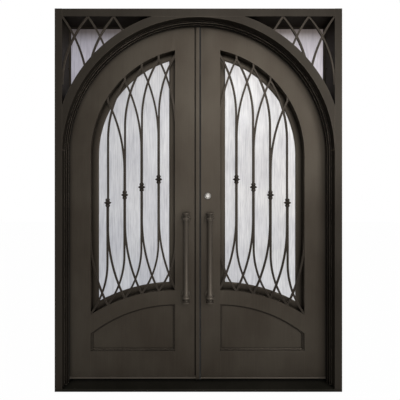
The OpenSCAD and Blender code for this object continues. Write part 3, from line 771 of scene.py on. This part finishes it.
def leaf_panel(side, sign, body):
    """The lower panel and its stepped moulding, the same indoors and outdoors."""
    bm = bmesh.new()
    panel_low, panel_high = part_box(f"{side}_kick_panel")
    add_slab(bm, kick_outline(11 * MM), panel_low.y, panel_high.y, sign)
    finish_piece(f"{side}_kick_sheet", bm, BRONZE, body, [f"{side}_kick_panel"])
    bm = bmesh.new()
    for face, inwards in ((LEAF_Y, 1), (LEAF_BACK_Y, -1)):
        depth = lambda d: face + inwards * d * MM
        section = [(0, depth(18)), (0, depth(5.6)), (0.8 * MM, depth(5.2)), (5.4 * MM, depth(5.6)),
                   (6.2 * MM, depth(6.4)), (6.5 * MM, depth(11.6)), (7.3 * MM, depth(11.2)),
                   (11.8 * MM, depth(11.6)), (12.7 * MM, depth(12.4)), (13 * MM, depth(18))]
        add_moulding(bm, kick_outline, section, sign)
    finish_piece(f"{side}_kick_moulding_strip", bm, MOULDING_BRONZE, body,
                 [f"{side}_kick_moulding"], weighted=True)


def leaf_glazing(side, sign, body):
    """The sash behind the grille, its beads and its rain glass."""
    front, back = LEAF_BACK_Y, SASH_BACK_Y
    section = [(-SASH_LAP, front), (-SASH_LAP, back - 2 * MM), (-SASH_LAP + 2 * MM, back),
               (SASH_VISIBLE_W - 10 * MM, back), (SASH_VISIBLE_W - 9 * MM, back - 1 * MM),
               (SASH_VISIBLE_W, GLASS_BACK_Y), (SASH_VISIBLE_W, GLASS_FRONT_Y),
               (SASH_VISIBLE_W - 7 * MM, front + 0.6 * MM), (SASH_VISIBLE_W - 8 * MM, front)]
    moulding(f"{side}_sash_frame", window_outline, section, body, [f"{side}_sash"], sign)
    tuck = SASH_VISIBLE_W - 3 * MM
    inner_x = INNER_X + tuck
    outer_x = WINDOW_R - tuck

    def top(x):
        return SPRING_Z + math.sqrt(max((WINDOW_R - tuck) ** 2 - x ** 2, 0))

    def bottom(x):
        return window_arc_z(x, tuck)

    bm = rain_sheet("glass", (inner_x, outer_x), bottom, top, GLASS_FRONT_Y + 0.8 * MM, GLASS_BACK_Y, 190,
                    90, 3.0 * sign)
    if sign < 0:
        bmesh.ops.scale(bm, vec=(-1, 1, 1), verts=bm.verts)
    finish_piece(f"{side}_rain_glass", bm, WINDOW_GLASS, body, [f"{side}_glass"], sharp_degrees=60)


def upright_x(i):
    if i == 0:
        return WINDOW_R + BAR_W / 2
    if i == 5:
        return INNER_X - BAR_W / 2
    return FIRST_UPRIGHT_X - (i - 1) * UPRIGHT_STEP


def arch_z(x):
    reach = min(x, WINDOW_R)
    return arch_top(WINDOW_R, reach)


def bend_rise(radius, run):
    return math.sqrt(2 * radius * run - run * run)


def bend_path(x, z, radius, run, out, up, steps=22):
    """Points of a bend that leaves an upright at (x, z), from the upright outwards."""
    turn = math.acos(1 - run / radius)
    points = []
    for k in range(steps + 1):
        a = turn * k / steps
        points.append((x + out * radius * (1 - math.cos(a)), z + up * radius * math.sin(a)))
    return points


def bar_path(i, out):
    """One whole bar of the pair on upright i: lower bend, straight, upper bend and peak."""
    upper_r = UPPER_OUT_R if out > 0 else UPPER_IN_R
    lower_r = LOWER_OUT_R if out > 0 else LOWER_IN_R
    x = upright_x(i) + out * PAIR_SHIFT
    target = i - out
    has_lower = 0 <= target <= 5
    run = abs(upright_x(target) - upright_x(i)) - PAIR_SHIFT if has_lower else 0
    path = []
    if has_lower:
        lower_start = window_arc_z(upright_x(target)) + bend_rise(lower_r, run)
        path = bend_path(x, lower_start, lower_r, run + BAR_W / 2, out, -1)[::-1]
    if i == 1 and out > 0:
        return path + [(x, COLLAR_Z[0])]
    if i == 0:
        return path
    peak = upright_x(target)
    upper_start = arch_z(peak) - PEAK_H - bend_rise(upper_r, run)
    upper = bend_path(x, upper_start, upper_r, run, out, 1)
    return path + upper + [(peak, arch_z(peak) + 4 * MM)]


def leaf_grille(side, sign, body):
    """The grille's bars, tied in pairs at their collars."""
    bm = bmesh.new()
    for out in (1, -1):
        first, last = (1, 5) if out > 0 else (0, 4)
        for i in range(first, last + 1):
            depth = LEAF_Y + BAR_W / 2 + (0.5 if out > 0 else 1.0) * MM
            add_sweep(bm, bar_path(i, out), depth, BAR_W / 2, BAR_W / 2 - 0.5 * MM, 1.3 * MM, sign)
    finish_piece(f"{side}_grille_bars", bm, GRILLE_BRONZE, body, [f"{side}_grille"])
    bm = bmesh.new()
    half = [(23.5, 0.9), (22.6, 2.2), (18, 5.2), (14.5, 7.8), (12.4, 9.4), (11.6, 11.4), (12.6, 13.6),
            (14.4, 15.2), (15, 17.4), (15, 20.6), (14.2, 23), (12.2, 25.4), (10.6, 28.0)]
    profile = [(0, -28.4)] + [(r, -h) for r, h in reversed(half)] + half + [(0, 28.4)]
    profile = from_mm(profile)
    for i, z in zip(range(1, 5), COLLAR_Z):
        add_lathe(bm, profile, (sign * upright_x(i), LEAF_Y + BAR_W / 2, z), (0, 0, 1), 40)
    finish_piece(f"{side}_collar_knuckles", bm, GRILLE_BRONZE, body, [f"{side}_collars"],
                 sharp_degrees=38)


def handle_profile():
    """Turned outline of a pull handle from one end to the other."""
    low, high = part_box("right_outer_handle")
    length = (high.z - low.z) / MM
    end = [(0, 0), (22.4, 0), (24.6, 0.8), (25.6, 2.4), (25.6, 5.4), (24.4, 7), (20.6, 8), (19.6, 9.4),
           (20.6, 10.8), (23.6, 11.8), (23.6, 13.6), (20, 15), (16.4, 16.4), (15, 18.6), (15, 24),
           (16.4, 26.4), (20.6, 28), (25.2, 29.4), (27, 31.8), (27, 38.6), (25.4, 41.4), (21.6, 43),
           (21, 44.6), (21.4, 46.6), (19.6, 48.8), (16.8, 50.4), (15.5, 52.4)]
    whole = end + [(r, length - h) for r, h in reversed(end)]
    return from_mm(whole)


def leaf_handles(side, sign, body):
    """Pull handles on turned posts, back to back through the meeting stile."""
    profile = handle_profile()
    for place, face, outwards in (("outer", LEAF_Y, -1), ("inner", LEAF_BACK_Y, 1)):
        low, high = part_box(f"{side}_{place}_handle")
        x = (low.x + high.x) / 2
        y = face + outwards * HANDLE_REACH
        bm = bmesh.new()
        add_lathe(bm, profile, (x, y, low.z), (0, 0, 1), 56)
        for z in (low.z + HANDLE_POST_IN, high.z - HANDLE_POST_IN):
            post = [(0, 0), (27.4, 0), (29, 1.4), (29, 3.4), (27.4, 5), (22, 5.8), (15.5, 7), (12.4, 9.4),
                    (11, 13), (11, 26), (12.2, 28), (13.2, 30), (13.2, 34), (11, 36), (0, 36)]
            add_lathe(bm, from_mm(post), (x, face, z), (0, outwards, 0), 44)
        finish_piece(f"{side}_{place}_pull", bm, HANDLE_BRONZE, body,
                     [f"{side}_{place}_handle"], sharp_degrees=34)


def leaf_sweep(side, sign, body):
    """The strip under a leaf: a metal channel with rubber blades."""
    low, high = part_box(f"{side}_door_sweep")
    x_low, x_high = EDGE_X[side], LEAF_R
    bm = bmesh.new()
    lip_z = high.z - SWEEP_NECK_H
    add_slab(bm, rectangle(x_low, low.z + SWEEP_LIFT, x_high, lip_z),
             low.y, high.y, sign, lambda x, z: near(z, lip_z) or near(z, low.z + SWEEP_LIFT), 1.2 * MM)
    add_slab(bm, rectangle(x_low, lip_z, x_high, high.z),
             low.y + SWEEP_NECK_IN, high.y - SWEEP_NECK_IN, sign)
    finish_piece(f"{side}_sweep_channel", bm, SWEEP_BRONZE, body, [f"{side}_door_sweep"],
                 weighted=True)
    bm = bmesh.new()
    for fin in (0.25, 0.5, 0.75):
        y = low.y + (high.y - low.y) * fin
        add_slab(bm, rectangle(x_low, low.z, x_high, low.z + SWEEP_BLADE_H),
                 y - 2 * MM, y + 2 * MM, sign, lambda x, z: near(z, low.z), 1.0 * MM)
    finish_piece(f"{side}_sweep_blades", bm, BLACK_RUBBER, body)


def make_cover_strip():
    """The cover strip on the left leaf's meeting edge."""
    low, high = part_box("astragal")
    half = high.x
    bm = bmesh.new()
    rows = ((LEAF_Y, LEAF_BACK_Y, LEAF_R), (low.y, LEAF_Y, LEAF_R - COVER_STRIP_SHORT))
    for y_low, y_high, radius in rows:
        top = [(x, arch_top(radius, x)) for x in spread(half, -half, 6)]
        outline = [(-half, low.z), (half, low.z)] + top
        proud = y_low < LEAF_Y
        soft = (lambda x, z: near(abs(x), half) or z > 2) if proud else (lambda x, z: near(x, half))
        add_slab(bm, outline, y_low, y_high, 1, soft, 1.3 * MM)
    finish_piece("cover_strip", bm, BRONZE, "left_leaf", ["astragal"], weighted=True)


# ------------------------ fittings


def make_lock():
    """Lock cylinder outdoors, thumb turn indoors, and the plates on the meeting edges."""
    low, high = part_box("lock_cylinder")
    x, z = (low.x + high.x) / 2, (low.z + high.z) / 2
    bm = bmesh.new()
    dish = [(0, 0), (20.2, 0), (21.5, 1.2), (21.5, 5.4), (20.9, 6.6), (20.0, 7.0), (19.2, 6.6), (17.0, 4.6),
            (14.0, 2.6), (11.6, 1.8), (11.4, 9.8), (10.9, 10.7), (9.8, 11.0), (8.8, 10.6), (8.4, 9.6),
            (0, 8.4)]
    add_lathe(bm, from_mm(dish), (x, LEAF_Y, z), (0, -1, 0), 64)
    finish_piece("lock_cylinder_rose", bm, STEEL, "right_leaf", ["lock_cylinder"],
                 sharp_degrees=40)
    bm = bmesh.new()
    add_box(bm, (x - 0.9 * MM, LEAF_Y - 8.6 * MM, z - 4.6 * MM),
            (x + 0.9 * MM, LEAF_Y - 7 * MM, z + 3.4 * MM), 0.3 * MM)
    add_box(bm, (x - 0.4 * MM, LEAF_Y - 8.6 * MM, z - 6 * MM),
            (x + 1.6 * MM, LEAF_Y - 7 * MM, z - 3 * MM), 0.3 * MM)
    finish_piece("lock_keyway", bm, BLACK_RUBBER, "right_leaf")
    bm = bmesh.new()
    rose = [(0, 0), (20.2, 0), (21.5, 1.2), (21.5, 4), (20, 6), (15, 7), (8.4, 7.2), (7, 8.4), (7, 15),
            (0, 15)]
    add_lathe(bm, from_mm(rose), (x, LEAF_BACK_Y, z), (0, 1, 0), 56)
    turn_low, turn_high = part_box("thumb_turn")
    outline = []
    for k in range(48):
        a = 2 * math.pi * k / 48
        width = 4 * MM + 2.4 * MM * math.cos(a) ** 2
        outline.append((x + width * math.sin(a), z + 17 * MM * math.cos(a)))
    add_slab(bm, outline, LEAF_BACK_Y + 14 * MM, turn_high.y, 1, lambda px, pz: True, 1.6 * MM)
    finish_piece("thumb_turn_knob", bm, STEEL, "right_leaf", ["thumb_turn"], sharp_degrees=40)
    for side, body, sign in (("left", "left_leaf", 1), ("right", "right_leaf", -1)):
        edge = EDGE_X[side]
        y_middle = LEAF_Y + 38 * MM
        bm = bmesh.new()
        add_box(bm, (edge - (0 if sign > 0 else FACEPLATE_T), y_middle - FACEPLATE_HALF_D,
                     z - FACEPLATE_HALF_H),
                (edge + (FACEPLATE_T if sign > 0 else 0), y_middle + FACEPLATE_HALF_D,
                 z + FACEPLATE_HALF_H), 0.5 * MM)
        face_x = edge + sign * FACEPLATE_T
        for dz in (-SCREW_FROM_LOCK, SCREW_FROM_LOCK):
            add_screw(bm, (face_x, y_middle, z + dz), (sign, 0, 0), 3.4 * MM)
        finish_piece(f"{side}_lock_faceplate", bm, STEEL, body)


def add_screw(bm, place, axis, radius):
    """Adds a pan-head screw."""
    profile = [(0, -1 * MM), (radius, -1 * MM), (radius, 0.2 * MM), (0.92 * radius, 0.7 * MM),
               (0.7 * radius, 1.1 * MM), (0.34 * radius, 1.3 * MM), (0.3 * radius, 0.5 * MM), (0, 0.5 * MM)]
    add_lathe(bm, profile, place, axis, 20)


def make_hinges(side, sign):
    """Barrel hinges behind the leaves: fixed halves with pins, and the leaves' halves."""
    joint = next(j for j in frame["joints"] if j["name"] == f"{side}_leaf_swing")
    axis_x, axis_y, _ = joint["pos_m"]
    half_low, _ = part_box(f"{side}_leaf_hinges")
    heights = [half_low.z - HINGE_HALF_GAP + HINGE_STEP * k for k in range(3)]
    fixed = bmesh.new()
    moving = bmesh.new()
    knuckle = HINGE_H / 2 - HINGE_HALF_GAP
    for z in heights:
        barrel = [(0, 0), (7.2, 0), (8.6, 1.0), (9, 2.6), (9, knuckle / MM - 1.2), (8.6, knuckle / MM - 0.3),
                  (8, knuckle / MM), (0, knuckle / MM)]
        add_lathe(fixed, from_mm(barrel), (axis_x, axis_y, z - HINGE_H / 2), (0, 0, 1), 36)
        add_lathe(moving, from_mm(barrel), (axis_x, axis_y, z + HINGE_H / 2), (0, 0, -1), 36)
        add_lathe(fixed, [(5.2 * MM, 0), (5.2 * MM, 3 * MM)], (axis_x, axis_y, z - 1.5 * MM), (0, 0, 1), 24)
        fixed_x = sorted((axis_x, axis_x + sign * HINGE_PLATE_W))
        add_box(fixed, (fixed_x[0], BACK_Y, z - HINGE_H / 2),
                (fixed_x[1], BACK_Y + HINGE_PLATE_T, z - HINGE_HALF_GAP), 0.9 * MM)
        moving_x = sorted((axis_x, axis_x - sign * HINGE_PLATE_W))
        add_box(moving, (moving_x[0], LEAF_BACK_Y, z + HINGE_HALF_GAP),
                (moving_x[1], LEAF_BACK_Y + HINGE_PLATE_T, z + HINGE_H / 2), 0.9 * MM)
        for share in (0.25, 0.75):
            for reach in (20 * MM, 38 * MM):
                rise = share * knuckle
                add_screw(fixed, (axis_x + sign * reach, BACK_Y + HINGE_PLATE_T, z - HINGE_H / 2 + rise),
                          (0, 1, 0), 4 * MM)
                add_screw(moving, (axis_x - sign * reach, LEAF_BACK_Y + HINGE_PLATE_T,
                                   z + HINGE_HALF_GAP + rise), (0, 1, 0), 4 * MM)
    finish_piece(f"{side}_fixed_hinge_halves", fixed, BRONZE, "frame",
                 ["frame_hinges"] if side == "left" else [], sharp_degrees=38)
    finish_piece(f"{side}_leaf_hinge_halves", moving, BRONZE, f"{side}_leaf",
                 [f"{side}_leaf_hinges"], sharp_degrees=38)


# ------------------------ camera, light and stage

# What the view takes in at the plane of the frame's front
VIEW_WIDTH = 2.543
VIEW_CENTRE = (0.010, 1.220)
CAMERA_X = -0.12
CAMERA_Z = 1.311
CAMERA_DISTANCE = 1.92


def make_camera():
    data = bpy.data.cameras.new("camera")
    data.sensor_width = 36
    data.lens = data.sensor_width * CAMERA_DISTANCE / VIEW_WIDTH
    data.shift_x = (VIEW_CENTRE[0] - CAMERA_X) / VIEW_WIDTH
    data.shift_y = (VIEW_CENTRE[1] - CAMERA_Z) / VIEW_WIDTH
    camera = bpy.data.objects.new("camera", data)
    camera.location = (CAMERA_X, FRONT_Y - CAMERA_DISTANCE, CAMERA_Z)
    camera.rotation_euler = (math.pi / 2, 0, 0)
    bpy.context.scene.collection.objects.link(camera)
    bpy.context.scene.camera = camera


def add_lamp(name, place, aim, size, power):
    data = bpy.data.lights.new(name, "AREA")
    data.shape = "RECTANGLE"
    data.size, data.size_y = size
    data.energy = power
    lamp = bpy.data.objects.new(name, data)
    lamp.location = place
    lamp.rotation_euler = (Vector(aim) - Vector(place)).to_track_quat("-Z", "Y").to_euler()
    lamp.visible_transmission = False
    bpy.context.scene.collection.objects.link(lamp)


def seen_directly(tree):
    """1 for rays from the camera and rays through glass."""
    path = tree.nodes.new("ShaderNodeLightPath")
    either = tree.nodes.new("ShaderNodeMath")
    either.operation = "MAXIMUM"
    tree.links.new(path.outputs["Is Camera Ray"], either.inputs[0])
    tree.links.new(path.outputs["Is Transmission Ray"], either.inputs[1])
    return either.outputs[0]


# How bright the white surroundings are for plain surfaces, for mirrored rays and when seen
AMBIENT = 0.3
MIRRORED = 0.42
SEEN = 1.0


def make_world():
    world = bpy.data.worlds.new("studio")
    bpy.context.scene.world = world
    world.use_nodes = True
    tree = world.node_tree
    background = tree.nodes["Background"]
    background.inputs["Color"].default_value = (1, 1, 1, 1)
    path = tree.nodes.new("ShaderNodeLightPath")
    plain = tree.nodes.new("ShaderNodeMapRange")
    plain.inputs["To Min"].default_value = AMBIENT
    plain.inputs["To Max"].default_value = MIRRORED
    tree.links.new(path.outputs["Is Glossy Ray"], plain.inputs["Value"])
    seen = tree.nodes.new("ShaderNodeMapRange")
    seen.inputs["To Max"].default_value = SEEN
    tree.links.new(seen_directly(tree), seen.inputs["Value"])
    tree.links.new(plain.outputs["Result"], seen.inputs["To Min"])
    tree.links.new(seen.outputs["Result"], background.inputs["Strength"])


def make_floor():
    """A floor that reads white when seen and sends little light back to the object."""
    bm = bmesh.new()
    bmesh.ops.create_grid(bm, x_segments=2, y_segments=2, size=9.0)
    mesh = bpy.data.meshes.new("floor")
    bm.to_mesh(mesh)
    bm.free()
    floor = bpy.data.objects.new("floor", mesh)
    bpy.context.scene.collection.objects.link(floor)
    n = Nodes("pale_floor")
    n.set(Roughness=0.9)
    n.shader.inputs["Base Color"].default_value = (0.4, 0.4, 0.4, 1)
    glow = n.add("ShaderNodeEmission")
    glow.inputs["Color"].default_value = (1, 1, 1, 1)
    mix = n.add("ShaderNodeMixShader")
    n.link(n.maths("MULTIPLY", seen_directly(n.tree), 0.99), mix.inputs["Fac"])
    n.link(n.shader.outputs["BSDF"], mix.inputs[1])
    n.link(glow.outputs["Emission"], mix.inputs[2])
    n.link(mix.outputs["Shader"], n.output.inputs["Surface"])
    mesh.materials.append(n.material)


def make_lights():
    add_lamp("key", (0.5, -2.2, 3.9), (0.1, 0, 1.6), (1.6, 1.0), 8)
    add_lamp("general", (0.9, -4.5, 3.4), (0, 0, 1.2), (2.4, 1.4), 92)
    add_lamp("right_fill", (2.6, -2.6, 2.2), (0, 0, 1.2), (1.0, 1.6), 42)
    add_lamp("low_fill", (0.2, -3.2, 0.9), (0.1, 0, 0.5), (1.0, 1.0), 16)
    add_lamp("back", (0.8, 3.4, 3.6), (0, 0, 1.2), (3.0, 2.4), 70)


# ------------------------ the whole

bpy.context.scene.view_settings.view_transform = "Standard"
make_camera()
make_world()
make_lights()
make_floor()

make_frame()
make_seals()
for side, sign in SIDES.items():
    body = f"{side}_leaf"
    make_corner(side, sign)
    leaf_plates(side, sign, body)
    leaf_panel(side, sign, body)
    leaf_glazing(side, sign, body)
    leaf_grille(side, sign, body)
    leaf_handles(side, sign, body)
    leaf_sweep(side, sign, body)
    make_hinges(side, sign)
make_cover_strip()
make_lock()
